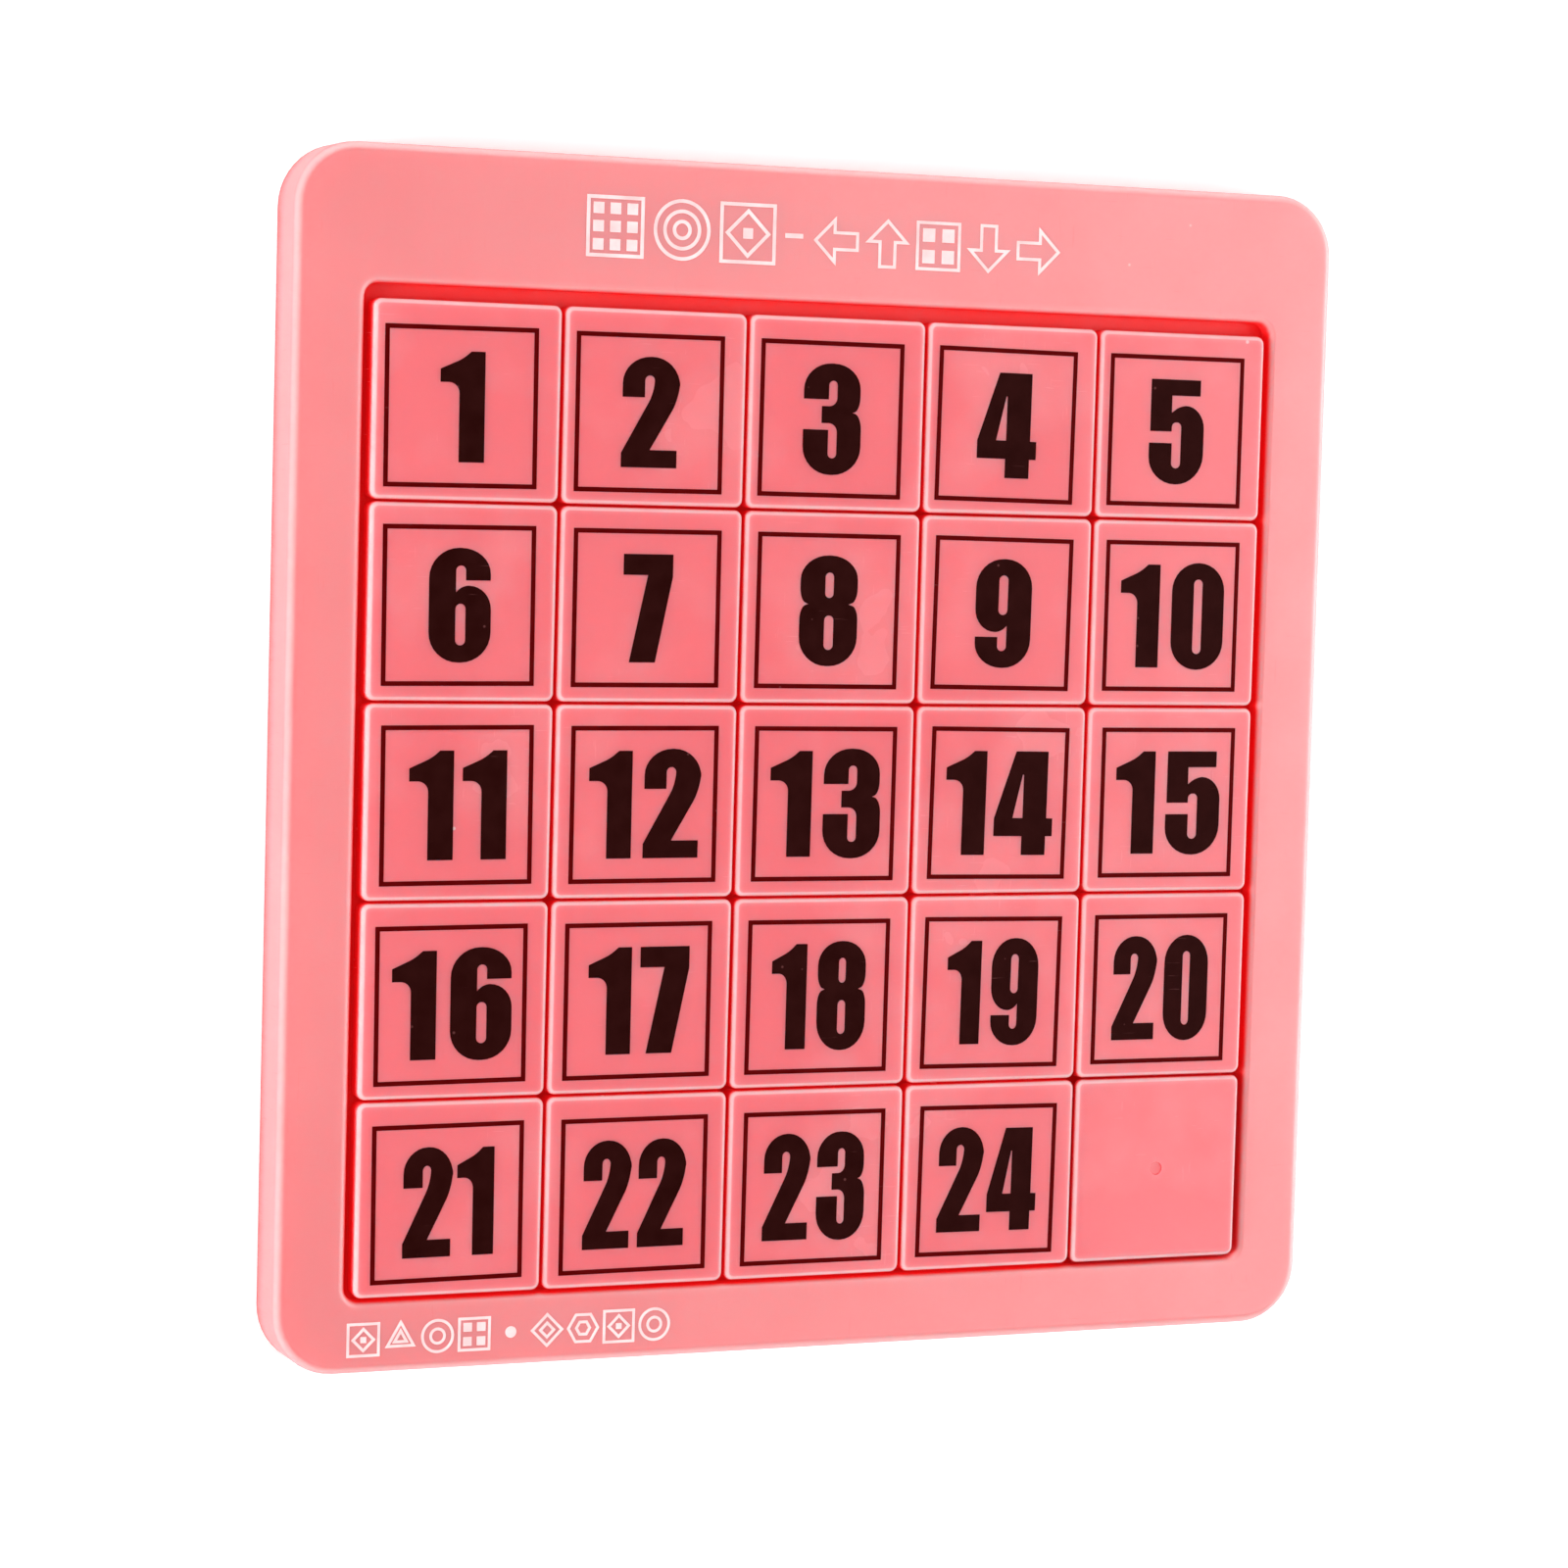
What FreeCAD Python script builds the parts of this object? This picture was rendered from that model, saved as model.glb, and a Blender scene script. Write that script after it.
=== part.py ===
import FreeCAD, Part
import os

# Sliding tile puzzle: a shallow moulded tray with a square window, twenty-four numbered tiles
# and one blank tile in five rows of five.
# The tray lies on its back. Origin: centre of the back, z = 0 on the surface it lies on.
# +X right, +Y up the face towards the wide title strip, +Z out of the face. Millimetres.

Vector = FreeCAD.Vector
UP = Vector(0, 0, 1)

# tray, seen from the front
FRAME_WIDTH = 115.9
FRAME_HEIGHT = 122.3
FRAME_DEPTH = 6.6
FRAME_CORNER = 6.4
FACE_EDGE = 1.0
BACK_EDGE = 0.4

# window in the tray, below the middle because the title strip is the widest margin
WINDOW = 101.3
WINDOW_Y = -3.2
WINDOW_CORNER = 1.4
WINDOW_LIP = 0.7

# moulded wall thicknesses inside the tray
FACE_PLATE = 2.0
OUTER_WALL = 1.8
SKIRT = 1.2
WINDOW_WALL = 3.5
RIB = 1.0
RIB_GAP = 1.0
RIB_SPACING = 20.0
RIBS_EACH_SIDE = 2

# back plate, let into the skirt from behind
PLATE = 1.6
PLATE_GAP = 0.1
PANEL_WIDTH = 86.0
PANEL_HEIGHT = 92.0
PANEL_CORNER = 4.0
PANEL_DEPTH = 0.3

# countersunk self-tapping screws that hold the back plate
SCREW_INSET_SIDE = 3.6
SCREW_INSET_CORNER = 5.2
SCREW_INSET_TOP = 6.85
HEAD_RADIUS = 1.9
HEAD_SINK = 0.15
HEAD_RIM = 0.15
SHANK_RADIUS = 1.1
SHANK_LENGTH = 3.2
TIP_RADIUS = 0.3
TIP_LENGTH = 0.7
SLOT_LENGTH = 2.3
SLOT_WIDTH = 0.5
SLOT_DEPTH = 0.6
HEAD_GAP = 0.06
PILOT_RADIUS = 0.9
PILOT_SPARE = 0.2
BOSS_RADIUS = 2.5

# tiles
ROWS = 5
COLUMNS = 5
TILE = 19.75
TILE_CORNER = 0.9
TILE_EDGE = 0.6
TILE_FOOT_CHAMFER = 0.3
TILE_PROUD = 0.4
PITCH_X = 20.0
PITCH_Y = 19.93
BOTTOM_GAP = 0.35
TILE_ROOF = 1.8
CAVITY = 12.5

# tongue and groove that keep the tiles down: tongues on the right and lower sides of a tile,
# grooves on its left and upper sides, matching rails and grooves around the window
TONGUE = 2.0
TONGUE_THICK = 1.0
TONGUE_ABOVE_FLOOR = 1.9
TONGUE_NOSE = 0.2
TONGUE_FREE_END = 1.0
TONGUE_CROSSING_END = 2.4
GROOVE = 2.25
GROOVE_PLAY = 0.2

# blank tile: a full-size cap on a narrower foot, so that it lifts out past its neighbours' tongues
CAP_SIDE = 0.7
CAP_CONE = 2.0
FOOT_INSET = 3.5
FOOT_CORNER = 1.5
FOOT_CAVITY = 9.4
GATE_RADIUS = 0.7
GATE_DEPTH = 0.12

# how far a cut runs past the face that it opens, how far a rail or tongue is rooted in its wall,
# and within what two places are the same
PAST = 1.0
ROOT = 0.5
SAME = 1e-4

# worked out from the sizes above
FLOOR = PLATE
TILE_TOP = FRAME_DEPTH + TILE_PROUD
TONGUE_LOW = FLOOR + TONGUE_ABOVE_FLOOR
TONGUE_HIGH = TONGUE_LOW + TONGUE_THICK
GROOVE_LOW = TONGUE_LOW - GROOVE_PLAY
GROOVE_HIGH = TONGUE_HIGH + GROOVE_PLAY
WINDOW_LEFT = -WINDOW / 2
WINDOW_RIGHT = WINDOW / 2
WINDOW_BOTTOM = WINDOW_Y - WINDOW / 2
WINDOW_TOP = WINDOW_Y + WINDOW / 2
LOWEST_ROW_Y = WINDOW_BOTTOM + BOTTOM_GAP + TILE / 2
HEAD_CONE = HEAD_RADIUS - SHANK_RADIUS
HEAD_CONE_LOW = HEAD_SINK + HEAD_RIM
HEAD_TOP = HEAD_CONE_LOW + HEAD_CONE


def box(x0, x1, y0, y1, z0, z1):
    """Box between two corners."""
    return Part.makeBox(x1 - x0, y1 - y0, z1 - z0, Vector(x0, y0, z0))


def cylinder(radius, place, z0, z1):
    """Upright cylinder at place, an (x, y) pair."""
    return Part.makeCylinder(radius, z1 - z0, Vector(place[0], place[1], z0), UP)


def edges_at(shape, z):
    """Edges that lie wholly at height z."""
    return [e for e in shape.Edges if abs(e.BoundBox.ZMin - z) < SAME and abs(e.BoundBox.ZMax - z) < SAME]


def slab(width, height, corner, z0, z1, y=0.0):
    """Upright block with rounded corners, centred on x = 0 and on y."""
    block = box(-width / 2, width / 2, y - height / 2, y + height / 2, z0, z1)
    upright = [e for e in block.Edges if e.BoundBox.ZLength > SAME]
    return block.makeFillet(corner, upright)


def screw_places():
    """Centres of the eight screws: four corners and the middle of each side."""
    corner_x = FRAME_WIDTH / 2 - SCREW_INSET_CORNER
    corner_y = FRAME_HEIGHT / 2 - SCREW_INSET_CORNER
    side_x = FRAME_WIDTH / 2 - SCREW_INSET_SIDE
    corners = [(sx * corner_x, sy * corner_y) for sx in (-1, 1) for sy in (-1, 1)]
    sides = [(-side_x, WINDOW_Y), (side_x, WINDOW_Y)]
    ends = [
        (0.0, -FRAME_HEIGHT / 2 + SCREW_INSET_SIDE),
        (0.0, FRAME_HEIGHT / 2 - SCREW_INSET_TOP),
    ]
    return corners + sides + ends


def tray_outside():
    """Outer block with its window, both with rounded face edges."""
    block = slab(FRAME_WIDTH, FRAME_HEIGHT, FRAME_CORNER, 0, FRAME_DEPTH)
    block = block.makeFillet(FACE_EDGE, edges_at(block, FRAME_DEPTH))
    block = block.makeFillet(BACK_EDGE, edges_at(block, 0))
    block = block.cut(slab(WINDOW, WINDOW, WINDOW_CORNER, -PAST, FRAME_DEPTH + PAST, WINDOW_Y))
    reach = WINDOW / 2 + SAME
    lip = []
    for edge in edges_at(block, FRAME_DEPTH):
        middle = edge.CenterOfMass
        if abs(middle.x) < reach and abs(middle.y - WINDOW_Y) < reach:
            lip.append(edge)
    return block.makeFillet(WINDOW_LIP, lip)


def tray_hollow():
    """Space under the face between the outer wall and the window wall, around ribs and bosses."""
    under_face = FRAME_DEPTH - FACE_PLATE
    around = WINDOW + 2 * WINDOW_WALL
    hollow = slab(
        FRAME_WIDTH - 2 * OUTER_WALL,
        FRAME_HEIGHT - 2 * OUTER_WALL,
        FRAME_CORNER - OUTER_WALL,
        PLATE,
        under_face,
    )
    kept = [slab(around, around, WINDOW_CORNER, PLATE, under_face, WINDOW_Y)]
    kept += [cylinder(BOSS_RADIUS, place, PLATE, under_face) for place in screw_places()]
    wide, high = FRAME_WIDTH / 2, FRAME_HEIGHT / 2
    for step in range(-RIBS_EACH_SIDE, RIBS_EACH_SIDE + 1):
        x = step * RIB_SPACING
        y = WINDOW_Y + step * RIB_SPACING
        kept.append(box(x - RIB / 2, x + RIB / 2, -high, high, PLATE + RIB_GAP, under_face))
        kept.append(box(-wide, wide, y - RIB / 2, y + RIB / 2, PLATE + RIB_GAP, under_face))
    return hollow.cut(kept)


def window_grooves():
    """Grooves under the lip on the window's right and lower sides."""
    sizes_right = (WINDOW_RIGHT - PAST, WINDOW_RIGHT + GROOVE, WINDOW_BOTTOM, WINDOW_TOP)
    sizes_lower = (WINDOW_LEFT, WINDOW_RIGHT, WINDOW_BOTTOM - GROOVE, WINDOW_BOTTOM + PAST)
    return [box(*sizes, GROOVE_LOW, GROOVE_HIGH) for sizes in (sizes_right, sizes_lower)]


def window_rails():
    """Rails on the window's left and upper sides, rooted in the window wall."""
    sizes_left = (WINDOW_LEFT - ROOT, WINDOW_LEFT + TONGUE, WINDOW_BOTTOM, WINDOW_TOP + ROOT)
    sizes_upper = (WINDOW_LEFT - ROOT, WINDOW_RIGHT, WINDOW_TOP - TONGUE, WINDOW_TOP + ROOT)
    return [box(*sizes, TONGUE_LOW, TONGUE_HIGH) for sizes in (sizes_left, sizes_upper)]


def front_frame():
    """Tray moulding: face, walls, window lip, rails, grooves and screw bosses."""
    width = FRAME_WIDTH - 2 * SKIRT
    height = FRAME_HEIGHT - 2 * SKIRT
    rebate = slab(width, height, FRAME_CORNER - SKIRT, -PAST, PLATE)
    pilot_top = HEAD_TOP + SHANK_LENGTH + TIP_LENGTH + PILOT_SPARE
    pilots = [cylinder(PILOT_RADIUS, place, PLATE, pilot_top) for place in screw_places()]
    frame = tray_outside().cut([rebate, tray_hollow()] + pilots + window_grooves())
    return frame.fuse(window_rails()).removeSplitter()


def countersunk(rim_radius, shank_radius, stop):
    """Rim, cone and straight shank of a countersunk screw or of its hole, from the back up to stop."""
    rim = Part.makeCylinder(rim_radius, HEAD_CONE_LOW, Vector(0, 0, 0), UP)
    cone = Part.makeCone(rim_radius, shank_radius, rim_radius - shank_radius, Vector(0, 0, HEAD_CONE_LOW), UP)
    shank = Part.makeCylinder(shank_radius, stop - HEAD_CONE_LOW, Vector(0, 0, HEAD_CONE_LOW), UP)
    return rim.fuse([cone, shank])


def back_plate():
    """Flat plate that closes the tray and carries the tiles, with countersunk screw holes."""
    inset = SKIRT + PLATE_GAP
    plate = slab(FRAME_WIDTH - 2 * inset, FRAME_HEIGHT - 2 * inset, FRAME_CORNER - inset, 0, PLATE)
    panel = slab(PANEL_WIDTH, PANEL_HEIGHT, PANEL_CORNER, -PAST, PANEL_DEPTH)
    hole = countersunk(HEAD_RADIUS + HEAD_GAP, SHANK_RADIUS + HEAD_GAP, PLATE + PAST)
    return plate.cut([panel] + [hole.translated(Vector(x, y, 0)) for x, y in screw_places()])


def screw():
    """Cross-headed countersunk self-tapping screw on x = y = 0, pointing up."""
    straight_top = HEAD_TOP + SHANK_LENGTH
    body = countersunk(HEAD_RADIUS, SHANK_RADIUS, straight_top)
    tip = Part.makeCone(SHANK_RADIUS, TIP_RADIUS, TIP_LENGTH, Vector(0, 0, straight_top), UP)
    long, wide = SLOT_LENGTH / 2, SLOT_WIDTH / 2
    deep = HEAD_SINK + SLOT_DEPTH
    sink = Part.makeCylinder(HEAD_RADIUS + PAST, HEAD_SINK, Vector(0, 0, 0), UP)
    cross = [box(-long, long, -wide, wide, 0, deep), box(-wide, wide, -long, long, 0, deep)]
    return body.fuse(tip).cut([sink] + cross)


def back_screws():
    """All the screws of the back plate, as separate solids."""
    one = screw()
    return Part.makeCompound([one.translated(Vector(x, y, 0)) for x, y in screw_places()])


def cavity(side, roof):
    """Hollow in a tile's underside, split in four by a cross of ribs."""
    half = side / 2
    hollow = box(-half, half, -half, half, FLOOR, roof)
    across = [
        box(-half, half, -RIB / 2, RIB / 2, FLOOR, roof),
        box(-RIB / 2, RIB / 2, -half, half, FLOOR, roof),
    ]
    return hollow.cut(across)


def right_tongue():
    """Tongue on a tile's right side, with its nose edges chamfered."""
    nose = TILE / 2 + TONGUE
    low_end = -TILE / 2 + TONGUE_FREE_END
    high_end = TILE / 2 - TONGUE_CROSSING_END
    bar = box(TILE / 2 - ROOT, nose, low_end, high_end, TONGUE_LOW, TONGUE_HIGH)
    long_edges = [e for e in bar.Edges if e.BoundBox.YLength > SAME and e.BoundBox.XMin > nose - SAME]
    return bar.makeChamfer(TONGUE_NOSE, long_edges)


def numbered_tile():
    """Tile centred on x = y = 0, standing on the tray's floor."""
    half = TILE / 2
    tile = slab(TILE, TILE, TILE_CORNER, FLOOR, TILE_TOP)
    tile = tile.makeFillet(TILE_EDGE, edges_at(tile, TILE_TOP))
    tile = tile.makeChamfer(TILE_FOOT_CHAMFER, edges_at(tile, FLOOR))
    far = half + PAST
    left = box(-far, -half + GROOVE, -far, far, GROOVE_LOW, GROOVE_HIGH)
    upper = box(-far, far, half - GROOVE, far, GROOVE_LOW, GROOVE_HIGH)
    tile = tile.cut([left, upper, cavity(CAVITY, TILE_TOP - TILE_ROOF)])
    right = right_tongue()
    lower = right.mirror(Vector(0, 0, 0), Vector(1, 1, 0))
    return tile.fuse([right, lower])


def rounded_square(side, corner, z):
    """Closed wire: a square with rounded corners at height z."""
    block = slab(side, side, corner, z, z + PAST)
    bottom = [f for f in block.Faces if f.BoundBox.ZMax < z + SAME]
    return bottom[0].OuterWire


def blank_tile():
    """Plain tile centred on x = y = 0, with no tongues, that can be lifted straight out."""
    foot_side = TILE - 2 * FOOT_INSET
    cap_bottom = TILE_TOP - CAP_SIDE
    foot_top = cap_bottom - CAP_CONE
    cap = slab(TILE, TILE, TILE_CORNER, cap_bottom, TILE_TOP)
    cap = cap.makeFillet(TILE_EDGE, edges_at(cap, TILE_TOP))
    wires = [
        rounded_square(foot_side, FOOT_CORNER, foot_top),
        rounded_square(TILE, TILE_CORNER, cap_bottom),
    ]
    cone = Part.makeLoft(wires, True, True)
    foot = slab(foot_side, foot_side, FOOT_CORNER, FLOOR, foot_top)
    gate = cylinder(GATE_RADIUS, (0, 0), TILE_TOP - GATE_DEPTH, TILE_TOP + PAST)
    solid = cap.fuse([cone, foot])
    return solid.cut([cavity(FOOT_CAVITY, TILE_TOP - TILE_ROOF), gate]).removeSplitter()


def tile_place(row, column):
    """Centre of the tile in a row, counted from the top, and a column, counted from the left."""
    x = (column - (COLUMNS - 1) / 2) * PITCH_X
    y = LOWEST_ROW_Y + (ROWS - 1 - row) * PITCH_Y
    return Vector(x, y, 0)


def save(name, shape):
    """Write one named piece."""
    if not shape.isValid():
        raise ValueError(name + " is not a valid shape")
    shape.exportStep("parts/" + name + ".step")
    print(name, len(shape.Solids), "solid(s)", round(shape.Volume, 1), "mm3")


os.makedirs("parts", exist_ok=True)
save("front_frame", front_frame())
save("back_plate", back_plate())
save("back_screws", back_screws())
tile_shape = numbered_tile()
for row in range(ROWS):
    for column in range(COLUMNS):
        number = row * COLUMNS + column + 1
        if number < ROWS * COLUMNS:
            save("tile_%02d" % number, tile_shape.translated(tile_place(row, column)))
        else:
            save("blank_tile", blank_tile().translated(tile_place(row, column)))
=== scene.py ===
import math

import bmesh
import bpy
from mathutils import Matrix, Vector
from mathutils.geometry import tessellate_polygon


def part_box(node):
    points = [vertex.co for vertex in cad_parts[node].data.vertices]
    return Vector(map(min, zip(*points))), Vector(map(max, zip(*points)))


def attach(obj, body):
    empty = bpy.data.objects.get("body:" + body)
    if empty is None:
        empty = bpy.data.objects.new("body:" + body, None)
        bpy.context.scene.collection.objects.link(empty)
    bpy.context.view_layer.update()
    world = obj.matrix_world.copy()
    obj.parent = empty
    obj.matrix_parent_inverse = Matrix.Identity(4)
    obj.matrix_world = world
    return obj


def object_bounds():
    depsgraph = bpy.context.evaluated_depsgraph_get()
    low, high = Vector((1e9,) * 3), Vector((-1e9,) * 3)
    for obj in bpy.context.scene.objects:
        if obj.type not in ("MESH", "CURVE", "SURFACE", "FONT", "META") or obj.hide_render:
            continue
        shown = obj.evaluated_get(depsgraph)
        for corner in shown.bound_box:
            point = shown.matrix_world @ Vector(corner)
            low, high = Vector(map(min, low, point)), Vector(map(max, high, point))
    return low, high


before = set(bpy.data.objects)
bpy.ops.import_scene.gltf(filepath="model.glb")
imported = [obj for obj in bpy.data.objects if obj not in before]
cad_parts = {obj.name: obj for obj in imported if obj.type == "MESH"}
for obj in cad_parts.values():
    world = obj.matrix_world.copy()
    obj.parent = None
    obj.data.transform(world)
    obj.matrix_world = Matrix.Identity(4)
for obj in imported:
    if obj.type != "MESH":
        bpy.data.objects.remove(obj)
CAD_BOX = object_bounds()

# Looks of the sliding tile puzzle: moulded plastic, printed numbers and squares, printed ornaments
# on the tray, floor, light and camera. Places are in metres and outlines of the prints in millimetres.
MM = 0.001

# camera: tilted off the upright towards the left side of the tray, and aimed near its middle
CAMERA_TILT = math.radians(23.4)
CAMERA_SWING = math.radians(-10.2)
CAMERA_ROLL = math.radians(1.6)
CAMERA_DISTANCE = 0.4396
CAMERA_LENS = 98.0
CAMERA_SENSOR = 36.0
AIM_LEFT = 0.0048
AIM_DOWN = 0.0020

# printed squares and numbers on the tiles, in millimetres; a plate of ink stands INK_HEIGHT above the
# face under it and INK_ROOT below
ROWS = 5
COLUMNS = 5
SQUARE = 15.55
SQUARE_LINE = 0.46
CAP_HEIGHT = 10.95
CURVED_HEIGHT = 11.0
NUMBER_LEFT = 0.1
INK_HEIGHT = 0.03
INK_ROOT = 0.02
# numbers from this one on are set narrower
NARROW_FROM = 18
NARROW = 0.84
# how far each row is printed off the middle of its tiles, and the degrees that each column is turned
PRINT_RIGHT = (-0.65, -0.45, -0.2, -0.35, -0.25)
PRINT_UP = (-0.55, -0.3, -0.3, -0.4, -0.45)
PRINT_TURN = (0.4, 0.2, -0.1, -0.5, 0.0)

# ornaments printed on the tray, in millimetres: large marks, a dash and small marks on the title strip,
# and a row of fine marks in the lower left corner
TITLE_LEFT_OF_MIDDLE = 27.8
TITLE_BELOW_EDGE = 7.05
TITLE_LARGE = 6.2
TITLE_LARGE_PITCH = 7.2
TITLE_LINE = 0.38
TITLE_DASH = 22.6
TITLE_DASH_LENGTH = 2.0
TITLE_DASH_LINE = 0.5
TITLE_SMALL = 5.1
TITLE_SMALL_START = 27.3
TITLE_SMALL_PITCH = 5.78
TITLE_SMALL_DOWN = 0.3
TITLE_FINE_LINE = 0.34
MOTTO_FROM_LEFT = 7.55
MOTTO_ABOVE_EDGE = 3.45
MOTTO_SIZE = 3.5
MOTTO_PITCH = 3.9
MOTTO_LINE = 0.3
MOTTO_DOT_RADIUS = 0.6
# shares of a mark's size, and of the pitch of its grid
ARROW_STEM = 0.2
DOT_SIZE = 0.125
GRID_DOT = 0.45
# line widths from a square mark's side to the corner of the diamond in it
DIAMOND_INSET = 2.2

# colours of the plastics, of the inks, and of the base under chipped ink
TRAY_PINK = (0.98, 0.178, 0.191)
TILE_PINK = (0.98, 0.202, 0.228)
BACK_PINK = (0.98, 0.195, 0.205)
DUST = (0.95, 0.82, 0.8)
SQUARE_INK = (0.085, 0.0004, 0.0006)
NUMBER_INK = (0.020, 0.0022, 0.0018)
NUMBER_CHIP = (0.30, 0.10, 0.10)
PALE_INK = (0.93, 0.64, 0.64)
PALE_CHIP = (0.93, 0.4, 0.4)

# reach in metres of the painted highlight, a paler band along rounded edges, how strong that painted
# highlight is, and how far the shading there bulges
SOFT_EDGE = 0.0014
HIGHLIGHT_BAND = 0.35
BULGE = 0.15
# reach in metres of the painted shade and the painted glow in the gaps
GAP_REACH = 0.003

FLOOR_HALF_SIDE = 3.0

# steps of a rounded corner and of a circle; degrees that turn a polygon of four into an upright square
ARC_STEPS = 8
CIRCLE_STEPS = 48
UPRIGHT = 45.0
# length of a curve's handles that makes it a quarter circle of radius 1
HANDLE = 0.5523


def rounded(corners):
    """Closed outline from its corners: (x, y) is sharp, (x, y, r) is round, and (x, y, before, after)
    is an elliptical arc that starts before and ends after the corner by those lengths."""
    points = []
    for i, corner in enumerate(corners):
        here = Vector(corner[:2])
        if len(corner) == 2:
            points.append(here)
            continue
        to_last = (Vector(corners[i - 1][:2]) - here).normalized()
        to_next = (Vector(corners[(i + 1) % len(corners)][:2]) - here).normalized()
        start = here + to_last * corner[2]
        end = here + to_next * corner[-1]
        for step in range(ARC_STEPS + 1):
            t = step / ARC_STEPS
            handle_1 = start.lerp(here, HANDLE)
            handle_2 = end.lerp(here, HANDLE)
            first = start.lerp(handle_1, t).lerp(handle_1.lerp(handle_2, t), t)
            second = handle_1.lerp(handle_2, t).lerp(handle_2.lerp(end, t), t)
            points.append(first.lerp(second, t))
    return points


def slot(left, right, low, high):
    """Upright slot with round ends."""
    r = (right - left) / 2
    return rounded([(left, low, r), (right, low, r), (right, high, r), (left, high, r)])


def bowl(width):
    """Tall rounded outline that a zero, six, eight and nine have at both ends."""
    return [(0, -0.2, 3.0, 3.1), (width, -0.2, 3.1, 3.0)]


# Digits: total width, space before and after, outline, then the outlines of the holes. Heavy, narrow
# and upright, with slot-like holes; x from the left edge, y from the foot.
ONE = [
    (2.0, 0), (4.65, 0), (4.65, 10.95), (3.2, 10.95), (2.3, 10.2, 0.6), (0, 9.2), (0, 7.9),
    (2.0, 7.9, 1.1),
]
TWO = [
    (0, 0), (6.0, 0), (6.0, 1.77), (3.05, 1.77), (6.23, 7.15, 1.6), (6.23, 11.15, 2.9, 3.0),
    (0.05, 11.15, 3.0, 2.7), (0.05, 7.07), (2.44, 7.07), (2.44, 9.28, 0.53), (3.5, 9.28, 0.53),
    (3.5, 7.65, 1.2), (0, 1.45),
]
THREE = [
    (0, 4.4), (0, -0.2, 2.9, 3.1), (6.46, -0.2, 3.1, 2.9), (6.46, 5.9, 1.4, 0.7), (5.48, 6.22),
    (6.31, 6.5, 0.6, 1.3), (6.31, 11.2, 2.6, 3.0), (0, 11.2, 3.0, 2.7), (0, 7.53), (2.77, 7.53),
    (2.77, 9.45, 0.49), (3.75, 9.45, 0.49), (3.75, 6.83, 0.9), (2.04, 6.83), (2.04, 5.1),
    (3.79, 5.1, 0.95), (3.79, 1.5, 0.49), (2.8, 1.5, 0.49), (2.8, 4.4),
]
FOUR = [
    (3.3, 0), (6.07, 0), (6.07, 2.0), (6.84, 2.0), (6.84, 3.88), (6.11, 3.88), (6.11, 10.95),
    (2.36, 10.95), (0, 3.85), (0, 2.0), (3.3, 2.0),
]
FIVE = [
    (0, 4.2), (0, -0.15, 2.9, 3.2), (6.5, -0.15, 3.2, 3.2), (6.5, 8.2, 2.4, 2.2), (3.6, 8.2, 0.8),
    (2.6, 7.4), (2.6, 9.26), (5.99, 9.26), (5.99, 10.95), (0.1, 10.95), (0.1, 5.45), (2.65, 5.45),
    (2.65, 6.43, 0.53), (3.8, 6.43, 0.53), (3.8, 1.55, 0.55), (2.7, 1.55, 0.55), (2.7, 4.2),
]
SIX = bowl(6.48) + [
    (6.48, 7.45, 2.4, 2.3), (3.5, 7.45, 0.6), (2.78, 6.75), (2.78, 9.45, 0.52), (3.84, 9.45, 0.52),
    (3.84, 7.98), (6.42, 7.98), (6.42, 11.2, 2.6, 3.1), (0, 11.2, 3.1, 3.0),
]
SEVEN = [(0.77, 0), (3.57, 0), (5.35, 8.7), (5.35, 10.95), (0, 10.95), (0, 8.85), (2.66, 8.85)]
EIGHT = bowl(6.5) + [
    (6.5, 5.85, 1.3, 0.6), (5.46, 6.18), (6.45, 6.55, 0.6, 1.3), (6.45, 11.2, 2.5, 3.1),
    (0.03, 11.2, 3.1, 2.5), (0.03, 6.55, 1.3, 0.6), (0.98, 6.18), (0, 5.85, 0.6, 1.3),
]
ZERO = bowl(6.27) + [(6.27, 11.2, 3.0, 3.1), (0, 11.2, 3.1, 3.0)]


def upside_down(corners, width):
    """The same corners after half a turn."""
    return [(width - c[0], CURVED_HEIGHT - c[1], *c[2:]) for c in corners]


DIGITS = {
    "0": (6.27, 0.7, 0.4, [rounded(ZERO), slot(2.6, 3.66, 1.48, 9.45)]),
    "1": (4.65, 0.15, 0.8, [rounded(ONE)]),
    "2": (6.23, 0.5, 0.4, [rounded(TWO)]),
    "3": (6.46, 0.55, 0.4, [rounded(THREE)]),
    "4": (6.84, 0.25, 0.4, [rounded(FOUR), rounded([(2.15, 3.9), (3.34, 3.9), (3.34, 8.5), (3.18, 8.5)])]),
    "5": (6.5, 0.6, 0.4, [rounded(FIVE)]),
    "6": (6.48, 0.7, 0.4, [rounded(SIX), slot(2.76, 3.84, 1.5, 5.66)]),
    "7": (5.35, 0.15, 0.4, [rounded(SEVEN)]),
    "8": (6.5, 0.7, 0.4, [rounded(EIGHT), slot(2.8, 3.77, 6.83, 9.45), slot(2.77, 3.83, 1.47, 5.03)]),
    "9": (6.48, 0.7, 0.4, [rounded(upside_down(SIX, 6.48)), slot(2.64, 3.72, 5.34, 9.5)]),
}


def polygon(corners, radius, turn=0.0, middle=(0.0, 0.0)):
    """Regular outline with that many corners; turn is in degrees."""
    points = []
    for i in range(corners):
        angle = math.radians(turn) + math.tau * i / corners
        points.append(Vector((middle[0] + radius * math.cos(angle), middle[1] + radius * math.sin(angle))))
    return points


def ring(corners, radius, line, turn=0.0):
    """Regular outline drawn with a line of that width; radius reaches the corners of its middle."""
    half = line / 2 / math.cos(math.pi / corners)
    return [polygon(corners, radius + half, turn), polygon(corners, radius - half, turn)]


def square_outline(size, line):
    """Square outline; size is across the middle of its line."""
    return ring(4, size / math.sqrt(2), line, UPRIGHT)


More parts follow.
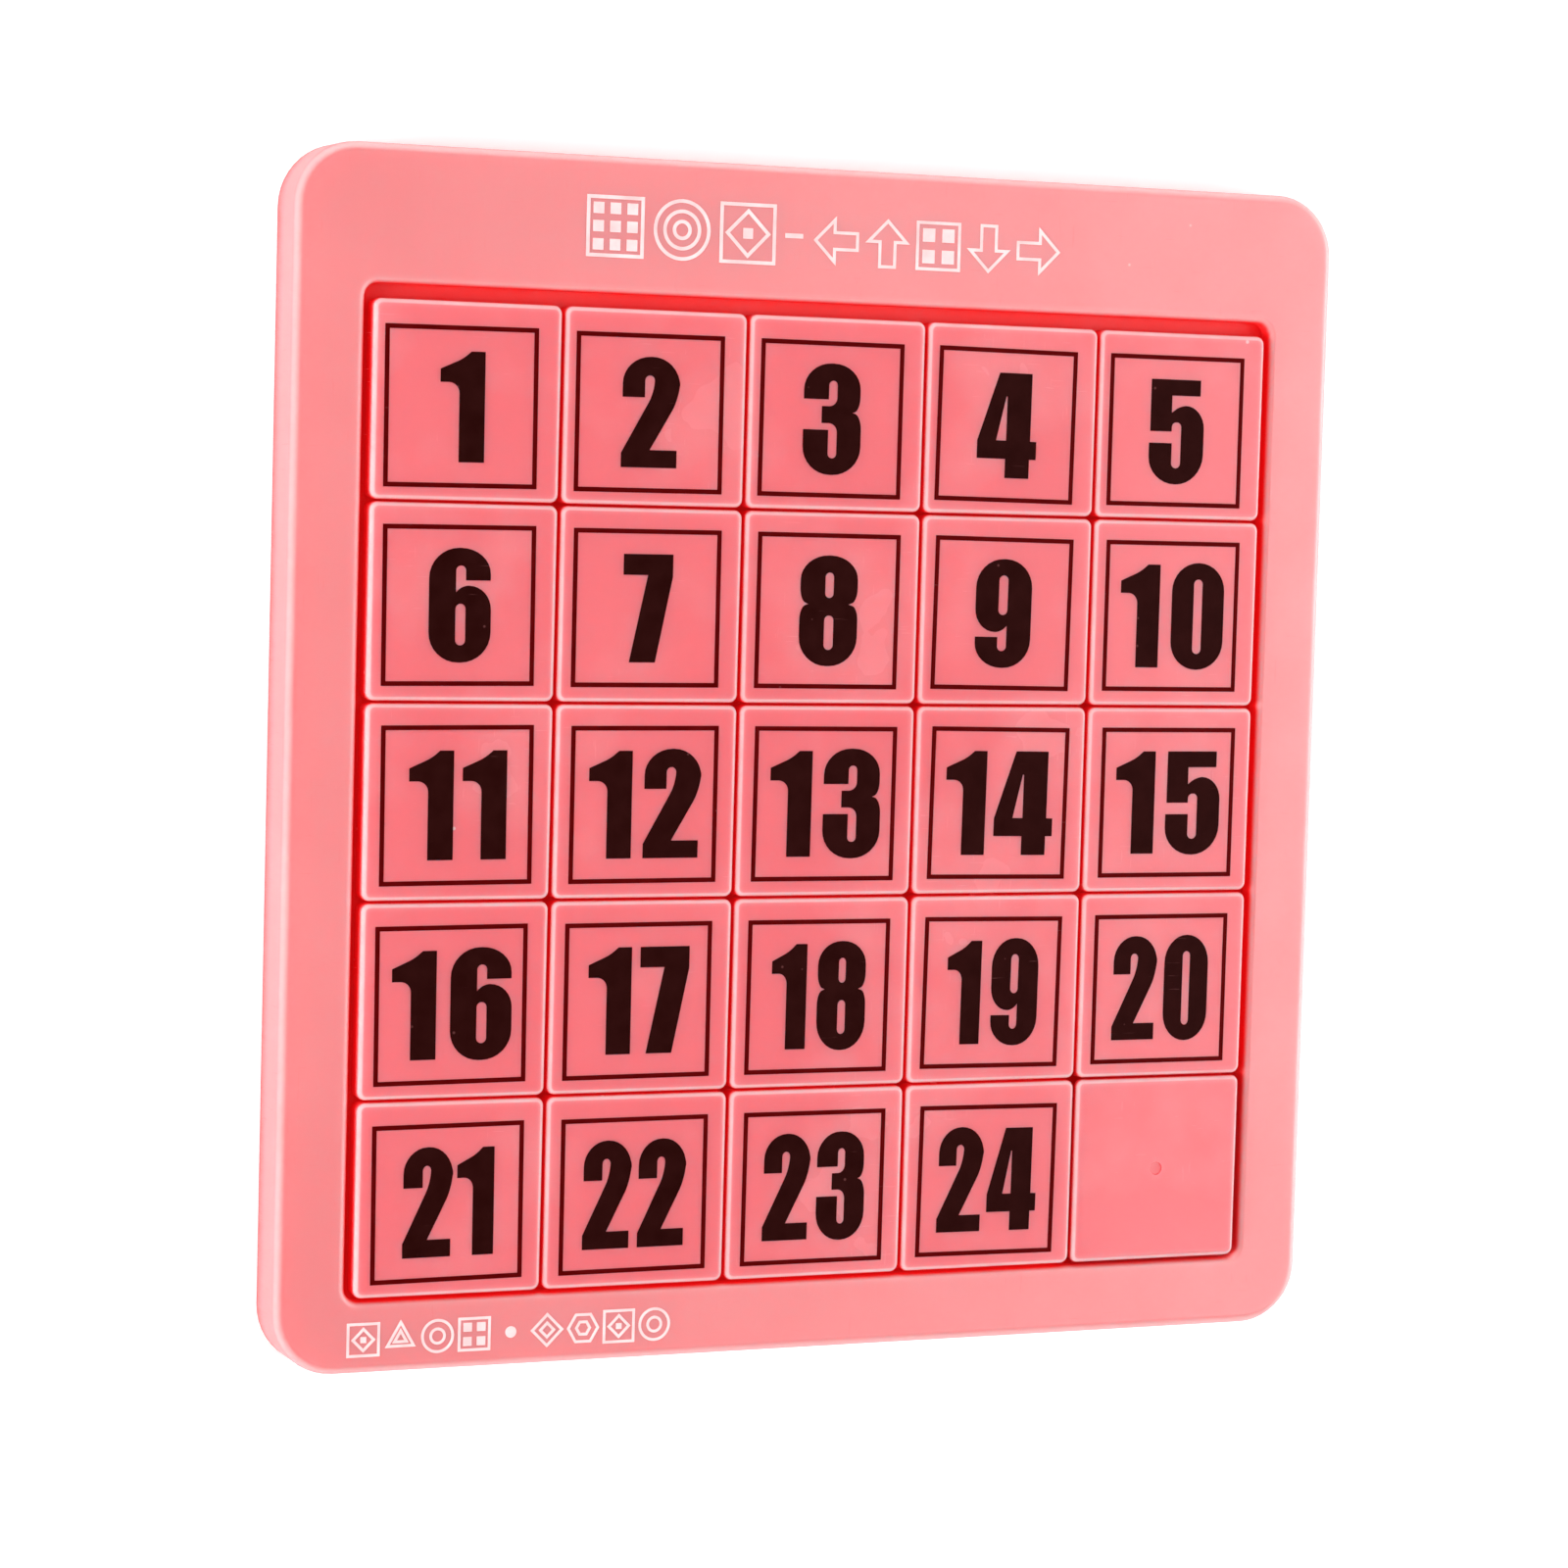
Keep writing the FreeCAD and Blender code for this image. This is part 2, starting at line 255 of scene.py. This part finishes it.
def ink_plate(made, loops, matrix):
    """Closed plate with the outline and holes in loops, placed by matrix; gives its faces."""
    flat = [[p.to_3d() for p in loop] for loop in loops]
    points = [matrix @ (p * MM) for loop in flat for p in loop]
    low = [made.verts.new(p - Vector((0, 0, INK_ROOT * MM))) for p in points]
    high = [made.verts.new(p + Vector((0, 0, INK_HEIGHT * MM))) for p in points]
    faces = []
    for a, b, c in tessellate_polygon(flat):
        faces.append(made.faces.new((high[a], high[b], high[c])))
        faces.append(made.faces.new((low[c], low[b], low[a])))
    first = 0
    for loop in loops:
        for i in range(len(loop)):
            here = first + i
            after = first + (i + 1) % len(loop)
            faces.append(made.faces.new((low[here], low[after], high[after], high[here])))
        first += len(loop)
    return faces


def printed(name, shapes, matrix, inks, body):
    """A piece with a plate for each shape. The first shape has the first ink and the others the last."""
    made = bmesh.new()
    for number, loops in enumerate(shapes):
        for face in ink_plate(made, loops, matrix):
            face.material_index = min(number, len(inks) - 1)
    bmesh.ops.recalc_face_normals(made, faces=made.faces)
    mesh = bpy.data.meshes.new(name)
    made.to_mesh(mesh)
    made.free()
    for ink_material in inks:
        mesh.materials.append(ink_material)
    piece = bpy.data.objects.new(name, mesh)
    bpy.context.scene.collection.objects.link(piece)
    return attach(piece, body)


def number_shapes(number):
    """Outlines of a number around its own middle."""
    stretch = NARROW if number >= NARROW_FROM else 1.0
    shapes = []
    right_edge = 0.0
    for i, digit in enumerate(str(number)):
        width, before, after, loops = DIGITS[digit]
        left = right_edge + before * stretch if i else 0.0
        shapes.append([[Vector((left + p.x * stretch, p.y)) for p in part] for part in loops])
        right_edge = left + width * stretch
        if i == 0 and number > 9:
            right_edge += after * stretch
    middle = Vector((right_edge / 2 - NUMBER_LEFT, CAP_HEIGHT / 2))
    return [[[p - middle for p in part] for part in loops] for loops in shapes]


def print_tiles(inks):
    """A printed square and number on each numbered tile. Its face is as wide as the blank tile, and is
    measured from its left and upper sides, because tongues stand out on the other two."""
    blank_low, blank_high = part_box("blank_tile")
    half = (blank_high.x - blank_low.x) / 2
    square = square_outline(SQUARE, SQUARE_LINE)
    for number in range(1, ROWS * COLUMNS):
        node = "tile_%02d" % number
        low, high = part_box(node)
        row, column = divmod(number - 1, COLUMNS)
        x = low.x + half + PRINT_RIGHT[row] * MM
        y = high.y - half + PRINT_UP[row] * MM
        turn = Matrix.Rotation(math.radians(PRINT_TURN[column]), 4, "Z")
        place = Matrix.Translation((x, y, high.z)) @ turn
        printed("print_%02d" % number, [square] + number_shapes(number), place, inks, node)


def arrow(size, line, turn):
    """Outlined arrow, pointing up before it is turned."""
    half = size / 2
    stem = size * ARROW_STEM
    tip = half - line * math.sqrt(2)
    wing = tip - line
    thin = stem - line
    outside = [(-stem, -half), (stem, -half), (stem, 0), (half, 0), (0, half), (-half, 0), (-stem, 0)]
    inside = [
        (-thin, line - half), (thin, line - half), (thin, line), (wing, line), (0, tip), (-wing, line),
        (-thin, line),
    ]
    spin = Matrix.Rotation(math.radians(turn), 2)
    return [[[spin @ Vector(p) for p in loop] for loop in (outside, inside)]]


def grid_mark(size, line, count):
    """Square outline around rows of small squares."""
    pitch = (size - 2 * line) / count
    places = [(i - (count - 1) / 2) * pitch for i in range(count)]
    small = [[polygon(4, pitch * GRID_DOT, UPRIGHT, (x, y))] for x in places for y in places]
    return [square_outline(size - line, line)] + small


def nested_mark(size, line, corners, turn, count=2):
    """Regular outlines inside one another, with the same turn."""
    step = size / 2 / count
    return [ring(corners, size / 2 - line / 2 - i * step, line, turn) for i in range(count)]


def turned_mark(size, line):
    """A square outline with a diamond in it and a square dot in the middle."""
    diamond = ring(4, size / 2 - DIAMOND_INSET * line, line)
    return [square_outline(size - line, line), diamond, [polygon(4, size * DOT_SIZE, UPRIGHT)]]


def moved(shapes, x, y):
    """The same shapes, carried by x and y."""
    return [[[p + Vector((x, y)) for p in loop] for loop in loops] for loops in shapes]


def print_title(inks):
    """Three large marks, a dash and five small marks on the title strip."""
    large = [
        grid_mark(TITLE_LARGE, TITLE_LINE, count=3),
        nested_mark(TITLE_LARGE, TITLE_LINE, CIRCLE_STEPS, turn=0.0, count=3),
        turned_mark(TITLE_LARGE, TITLE_LINE),
    ]
    small = [arrow(TITLE_SMALL, TITLE_FINE_LINE, turn) for turn in (90, 0, 180, 270)]
    small.insert(2, grid_mark(TITLE_SMALL, TITLE_FINE_LINE, count=2))
    x, y = TITLE_DASH_LENGTH / 2, TITLE_DASH_LINE / 2
    dash = [Vector((-x, -y)), Vector((x, -y)), Vector((x, y)), Vector((-x, y))]
    shapes = moved([[dash]], TITLE_DASH, 0.0)
    for i, mark in enumerate(large):
        shapes += moved(mark, TITLE_LARGE / 2 + i * TITLE_LARGE_PITCH, 0.0)
    for i, mark in enumerate(small):
        shapes += moved(mark, TITLE_SMALL_START + i * TITLE_SMALL_PITCH, -TITLE_SMALL_DOWN)
    low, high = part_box("front_frame")
    place = Matrix.Translation((-TITLE_LEFT_OF_MIDDLE * MM, high.y - TITLE_BELOW_EDGE * MM, high.z))
    printed("title_ornament", shapes, place, inks, "tray")


def print_motto(inks):
    """Four small marks, a dot and four more in the lower left corner."""
    size, line, circle = MOTTO_SIZE, MOTTO_LINE, CIRCLE_STEPS
    marks = [
        turned_mark(size, line),
        nested_mark(size, line, 3, 90.0),
        nested_mark(size, line, circle, 0.0),
        grid_mark(size, line, 2),
        [[polygon(circle, MOTTO_DOT_RADIUS)]],
        nested_mark(size, line, 4, 0.0),
        nested_mark(size, line, 6, 0.0),
        turned_mark(size, line),
        nested_mark(size, line, circle, 0.0),
    ]
    shapes = []
    for i, mark in enumerate(marks):
        shapes += moved(mark, size / 2 + i * MOTTO_PITCH, 0.0)
    low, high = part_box("front_frame")
    place = Matrix.Translation((low.x + MOTTO_FROM_LEFT * MM, low.y + MOTTO_ABOVE_EDGE * MM, high.z))
    printed("motto_ornament", shapes, place, inks, "tray")


def fill(tree, node, inputs):
    """Set a node's inputs, each to a value or to another node's output."""
    for name, value in inputs.items():
        if isinstance(value, bpy.types.NodeSocket):
            tree.links.new(value, node.inputs[name])
        else:
            node.inputs[name].default_value = value


def put(tree, kind, inputs=None, **settings):
    """Add a node; inputs are as in fill, and settings are the node's own properties."""
    node = tree.nodes.new("ShaderNode" + kind)
    for name, value in settings.items():
        setattr(node, name, value)
    fill(tree, node, inputs or {})
    return node


def new_material(name):
    """An empty node material and its shader."""
    material = bpy.data.materials.new(name)
    material.use_nodes = True
    tree = material.node_tree
    tree.nodes.clear()
    shader = put(tree, "BsdfPrincipled")
    put(tree, "OutputMaterial", {"Surface": shader.outputs["BSDF"]})
    return material, tree, shader


def noise(tree, place, scale, detail=2.0, stretch=(1.0, 1.0, 1.0)):
    """Smooth noise from 0 to 1 with that many waves to the metre."""
    mapped = put(tree, "Mapping", {"Vector": place, "Scale": stretch})
    return put(tree, "TexNoise", {"Vector": mapped.outputs[0], "Scale": scale, "Detail": detail}).outputs[0]


def ramp(tree, value, low, high, to_low=0.0, to_high=1.0):
    """Value carried from low..high to to_low..to_high, and clamped."""
    given = {"Value": value, "From Min": low, "From Max": high, "To Min": to_low, "To Max": to_high}
    return put(tree, "MapRange", given).outputs[0]


def math_node(tree, operation, a, b):
    """Result of one operation on two values."""
    return put(tree, "Math", {0: a, 1: b}, operation=operation).outputs[0]


def times(tree, a, b):
    """Product of two values."""
    return math_node(tree, "MULTIPLY", a, b)


def total(tree, first, *others):
    """Sum of values."""
    for other in others:
        first = math_node(tree, "ADD", first, other)
    return first


def layered(tree, base, layers):
    """Base colour with each layer's colour laid over it in turn, by that layer's share. A Mix node for
    colours has its factor at input 0, its colours at 6 and 7, and the mixed colour at output 2."""
    mixed = (*base, 1)
    for share, colour in layers:
        mixed = put(tree, "Mix", {0: share, 6: mixed, 7: (*colour, 1)}, data_type="RGBA").outputs[2]
    return mixed


def softened(tree, normal, soft):
    """Normal leant a little towards the soft one. A Mix node for vectors has them at inputs 4 and 5."""
    leant = put(tree, "Mix", {0: BULGE, 4: normal, 5: soft}, data_type="VECTOR").outputs[1]
    return put(tree, "VectorMath", {0: leant}, operation="NORMALIZE").outputs[0]


def specks(tree, place, scale, share, size):
    """Sparse round specks: 1 in a speck, 0 elsewhere."""
    cells = put(tree, "TexVoronoi", {"Vector": place, "Scale": scale})
    near = ramp(tree, cells.outputs["Distance"], size, size * 0.6)
    chosen = put(tree, "SeparateColor", {0: cells.outputs["Color"]})
    rare = math_node(tree, "LESS_THAN", chosen.outputs[0], share)
    return times(tree, near, rare)


def upward(tree, normal):
    """How far a normal looks up: 1 up, 0 level, -1 down."""
    return put(tree, "SeparateXYZ", {0: normal}).outputs["Z"]


def edge_share(tree, facing):
    """1 on the rounded edges of the face, 0 on the flat face and on upright walls."""
    return times(tree, ramp(tree, facing, 0.985, 0.93), ramp(tree, facing, 0.25, 0.5))


def band_share(tree, facing, soft):
    """Share of the painted highlight band: rises from 0 on the flat face to 1 at its edges; 0 on walls."""
    return times(tree, ramp(tree, upward(tree, soft), 1.0, 0.8), ramp(tree, facing, 0.4, 0.8))


def gap_shares(tree, facing, opening):
    """Shares of painted shade and painted glow, both 0 on faces that look down. The first, the painted
    shade, is 1 in any gap and falls to 0 where a share of the sky as large as opening is in sight. The
    second, the painted glow, rises to 1 only in the narrowest gaps."""
    free = put(tree, "AmbientOcclusion", {"Distance": GAP_REACH}, samples=6).outputs["AO"]
    above = ramp(tree, facing, -0.6, -0.2)
    gap_shade = times(tree, ramp(tree, free, opening, 0.38), above)
    gap_glow = times(tree, ramp(tree, free, opening - 0.18, 0.15), above)
    return gap_shade, gap_glow


def relief(tree, place, grain, scratches, normal):
    """Orange peel, fine grain and scratches as a bump over a normal."""
    height = total(
        tree,
        times(tree, noise(tree, place, 230, 1.0), 0.6),
        times(tree, noise(tree, place, 2600, 2.0), grain),
        times(tree, scratches, -0.12),
    )
    given = {"Height": height, "Strength": 0.35, "Distance": 0.00005, "Normal": normal}
    return put(tree, "Bump", given).outputs[0]


def fine_scratches(tree, place):
    """Sparse short scratches in two directions: 1 in a scratch, 0 elsewhere."""
    across = ramp(tree, noise(tree, place, 300, 2.0, (1.0, 14.0, 1.0)), 0.68, 0.74)
    along = ramp(tree, noise(tree, place, 260, 2.0, (16.0, 1.0, 1.0)), 0.69, 0.75)
    return math_node(tree, "MAXIMUM", across, along)


def plastic(name, colour, roughness, sheen, grain, rubbed_and_highlit, smeared_and_highlit, opening, glow):
    """Glossy moulded plastic, a little translucent: flow clouds, orange peel, fine scratches, edges paled
    by wear and by a painted highlight, a painted highlight band along them, painted shade deepening the
    colour in the gaps, smudges paled by a painted soft highlight, and a little dust. opening is as in the
    gap shares, and glow is the strength of a painted glow, an emission in the narrowest gaps that stands in
    for light coming through the plastic."""
    material, tree, shader = new_material(name)
    place = put(tree, "TexCoord").outputs["Object"]
    normal = put(tree, "NewGeometry").outputs["Normal"]
    soft = put(tree, "Bevel", {"Radius": SOFT_EDGE}, samples=6).outputs["Normal"]
    facing = upward(tree, normal)

    deep = [c * 0.94 for c in colour]
    pale = [min(1.0, c * 1.05 + 0.012) for c in colour]
    # pale colour of bare plastic at worn edges, also used for the painted highlights on the edges, in the
    # band and on smudges
    bare_and_highlight = [c * 0.4 + 0.58 for c in colour]
    # deep red painted into the gaps as shade, also the colour of the painted glow there
    gap_shade_and_glow_colour = (0.88, colour[1] ** 2 * 0.4, colour[2] ** 2 * 0.4)

    clouds = ramp(tree, noise(tree, place, 38, 3.0), 0.3, 0.7)
    streaks = ramp(tree, noise(tree, place, 110, 3.0, (1.0, 0.25, 1.0)), 0.35, 0.75, 0.0, 0.35)
    # painted highlight: a paler band along the rounded edges, standing in for the light they catch
    highlight_band = times(tree, band_share(tree, facing, soft), HIGHLIGHT_BAND)
    # rounded edges paled partly by uneven wear and partly by a painted highlight
    wear_and_highlight = ramp(tree, noise(tree, place, 260, 3.0), 0.2, 0.7, rubbed_and_highlit * 0.6, rubbed_and_highlit)
    edge_wear_and_highlight = times(tree, edge_share(tree, facing), wear_and_highlight)
    dust = times(tree, specks(tree, place, 420, 0.018, 0.10), 0.5)
    # smudges: rougher patches, also paled in colour as a painted soft highlight
    smudges_and_highlights = ramp(tree, noise(tree, place, 75, 3.0), 0.5, 0.75, 0.0, smeared_and_highlit * 0.12)
    # painted shade in any gap and painted glow in the narrowest, both found by ambient occlusion
    gap_shade, gap_glow = gap_shares(tree, facing, opening)
    scratches = fine_scratches(tree, place)
    haze = ramp(tree, noise(tree, place, 70, 4.0), 0.3, 0.7, roughness - 0.05, roughness + 0.07)

    fill(tree, shader, {
        "Base Color": layered(tree, deep, [
            (clouds, colour), (streaks, pale), (highlight_band, bare_and_highlight), (edge_wear_and_highlight, bare_and_highlight), (dust, DUST),
            (smudges_and_highlights, bare_and_highlight), (gap_shade, gap_shade_and_glow_colour),
        ]),
        "Roughness": total(tree, haze, times(tree, scratches, 0.12), times(tree, dust, 0.5), smudges_and_highlights),
        "Normal": relief(tree, place, grain, scratches, softened(tree, normal, soft)),
        # sheen falls with the painted shade in the gaps
        "Specular IOR Level": ramp(tree, gap_shade, 0.0, 1.0, sheen, 0.05),
        # painted glow: emission in the narrowest gaps, standing in for light coming through the plastic
        "Emission Color": (*gap_shade_and_glow_colour, 1),
        "Emission Strength": times(tree, gap_glow, glow),
        "Subsurface Weight": 0.8,
        "Subsurface Radius": (1.0, 0.1, 0.08),
        "Subsurface Scale": 0.002,
    })
    return material


def ink(name, colour, chip):
    """Screen-printed ink: nearly even colour, slightly uneven film, hairline scratches and pin holes."""
    material, tree, shader = new_material(name)
    place = put(tree, "TexCoord").outputs["Object"]
    film = ramp(tree, noise(tree, place, 420, 3.0), 0.3, 0.7)
    lighter = [c * 1.3 + 0.001 for c in colour]
    hairs = ramp(tree, noise(tree, place, 210, 3.0, (1.0, 22.0, 1.0)), 0.72, 0.76)
    patches = ramp(tree, noise(tree, place, 55, 2.0), 0.52, 0.62)
    holes = specks(tree, place, 900, 0.03, 0.16)
    worn = math_node(tree, "MAXIMUM", times(tree, hairs, patches), holes)
    given = {"Height": noise(tree, place, 1500, 2.0), "Strength": 0.25, "Distance": 0.00002}
    fill(tree, shader, {
        "Base Color": layered(tree, colour, [(film, lighter), (times(tree, worn, 0.3), chip)]),
        "Roughness": ramp(tree, film, 0.0, 1.0, 0.30, 0.42),
        "Normal": put(tree, "Bump", given).outputs[0],
        "Specular IOR Level": 0.02,
    })
    return material


def zinc(name):
    """Zinc-plated steel: turned lines and a patchy sheen."""
    material, tree, shader = new_material(name)
    place = put(tree, "TexCoord").outputs["Object"]
    patches = ramp(tree, noise(tree, place, 900, 3.0), 0.35, 0.7)
    lines = noise(tree, place, 1800, 2.0, (1.0, 9.0, 1.0))
    given = {"Height": lines, "Strength": 0.4, "Distance": 0.00003}
    fill(tree, shader, {
        "Base Color": layered(tree, (0.52, 0.53, 0.55), [(patches, (0.74, 0.74, 0.73))]),
        "Roughness": ramp(tree, lines, 0.3, 0.7, 0.28, 0.48),
        "Normal": put(tree, "Bump", given).outputs[0],
        "Metallic": 1.0,
    })
    return material


def dress_cad(tray, tile, back, screw):
    """Give every CAD node its material: a tile's, unless the node is another part."""
    chosen = {"front_frame": tray, "back_plate": back, "back_screws": screw}
    for name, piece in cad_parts.items():
        for place in piece.material_slots:
            place.material = chosen.get(name, tile)


def add_floor():
    """Plain pale floor under the puzzle."""
    side = FLOOR_HALF_SIDE
    mesh = bpy.data.meshes.new("floor")
    corners = [(-side, -side, 0), (side, -side, 0), (side, side, 0), (-side, side, 0)]
    mesh.from_pydata(corners, [], [(0, 1, 2, 3)])
    material, tree, shader = new_material("floor_paper")
    place = put(tree, "TexCoord").outputs["Object"]
    fibres = ramp(tree, noise(tree, place, 400, 3.0), 0.3, 0.7)
    fill(tree, shader, {
        "Base Color": layered(tree, (0.94, 0.94, 0.94), [(fibres, (0.97, 0.97, 0.97))]),
        "Roughness": 0.9,
        "Specular IOR Level": 0.1,
        "Emission Color": (1, 1, 1, 1),
        "Emission Strength": 0.3,
    })
    mesh.materials.append(material)
    floor = bpy.data.objects.new("floor", mesh)
    bpy.context.scene.collection.objects.link(floor)


def area_light(name, place, aim, size, watts):
    """A soft box that faces aim; size is its width and height."""
    lamp = bpy.data.lights.new(name, "AREA")
    lamp.shape = "RECTANGLE"
    lamp.size, lamp.size_y = size
    lamp.energy = watts
    holder = bpy.data.objects.new(name, lamp)
    bpy.context.scene.collection.objects.link(holder)
    holder.location = place
    holder.rotation_euler = (Vector(place) - aim).to_track_quat("Z", "Y").to_euler()
    return holder


def add_light(middle):
    """A pale tent, brightest near the floor, and soft boxes at the right, at the top and at the left.
    The left box lights the side wall and shows in no reflection."""
    world = bpy.data.worlds.new("studio")
    bpy.context.scene.world = world
    world.use_nodes = True
    tree = world.node_tree
    direction = put(tree, "TexCoord").outputs["Generated"]
    height = put(tree, "SeparateXYZ", {0: direction}).outputs["Z"]
    fill(tree, tree.nodes["Background"], {
        "Color": (1, 1, 1, 1),
        "Strength": ramp(tree, height, 0.0, 0.6, 1.4, 0.2),
    })
    area_light("right_box", (0.70, 0.0, 0.40), middle, size=(0.7, 1.0), watts=6.0)
    area_light("top_box", (0.0, 1.0, 0.35), middle, size=(1.0, 0.4), watts=2.4)
    left_box = area_light("left_box", (-1.0, -0.1, 0.18), middle, size=(0.3, 1.0), watts=20.0)
    left_box.visible_glossy = False


def add_camera(middle):
    """Camera over the left side of the tray, looking down and to the right."""
    lens = bpy.data.cameras.new("camera")
    lens.lens = CAMERA_LENS
    lens.sensor_width = CAMERA_SENSOR
    lens.clip_start = 0.01
    lens.clip_end = 10.0
    swing = Matrix.Rotation(CAMERA_SWING, 3, "Z")
    back = swing @ Vector((-math.sin(CAMERA_TILT), 0, math.cos(CAMERA_TILT)))
    right = Vector((0, 1, 0)).cross(back).normalized()
    up = back.cross(right)
    rolled_up = up * math.cos(CAMERA_ROLL) - right * math.sin(CAMERA_ROLL)
    rolled_right = right * math.cos(CAMERA_ROLL) + up * math.sin(CAMERA_ROLL)
    aim = middle + Vector((-AIM_LEFT, -AIM_DOWN, 0))
    turn = Matrix((rolled_right, rolled_up, back)).transposed().to_4x4()
    camera = bpy.data.objects.new("camera", lens)
    bpy.context.scene.collection.objects.link(camera)
    camera.matrix_world = Matrix.Translation(aim + back * CAMERA_DISTANCE) @ turn
    bpy.context.scene.camera = camera


def main():
    """Camera, light, floor, materials of the CAD nodes, and everything printed on them."""
    low, high = CAD_BOX
    middle = Vector(((low.x + high.x) / 2, (low.y + high.y) / 2, high.z))
    add_camera(middle)
    add_light(middle)
    add_floor()
    tray = plastic(
        "tray_plastic", TRAY_PINK, roughness=0.52, sheen=2.6, grain=0.02, rubbed_and_highlit=0.25, smeared_and_highlit=0.3,
        opening=0.95, glow=0.16,
    )
    tile = plastic(
        "tile_plastic", TILE_PINK, roughness=0.13, sheen=0.32, grain=0.02, rubbed_and_highlit=0.65, smeared_and_highlit=1.0,
        opening=0.78, glow=0.1,
    )
    back = plastic(
        "back_plastic", BACK_PINK, roughness=0.48, sheen=0.6, grain=0.35, rubbed_and_highlit=0.2, smeared_and_highlit=0.5,
        opening=0.78, glow=0.1,
    )
    dress_cad(tray, tile, back, zinc("screw_zinc"))
    print_tiles([ink("square_ink", SQUARE_INK, NUMBER_CHIP), ink("number_ink", NUMBER_INK, NUMBER_CHIP)])
    pale_ink = ink("pale_ink", PALE_INK, PALE_CHIP)
    print_title([pale_ink])
    print_motto([pale_ink])
    view = bpy.context.scene.view_settings
    view.view_transform = "Standard"
    view.look = "None"


main()
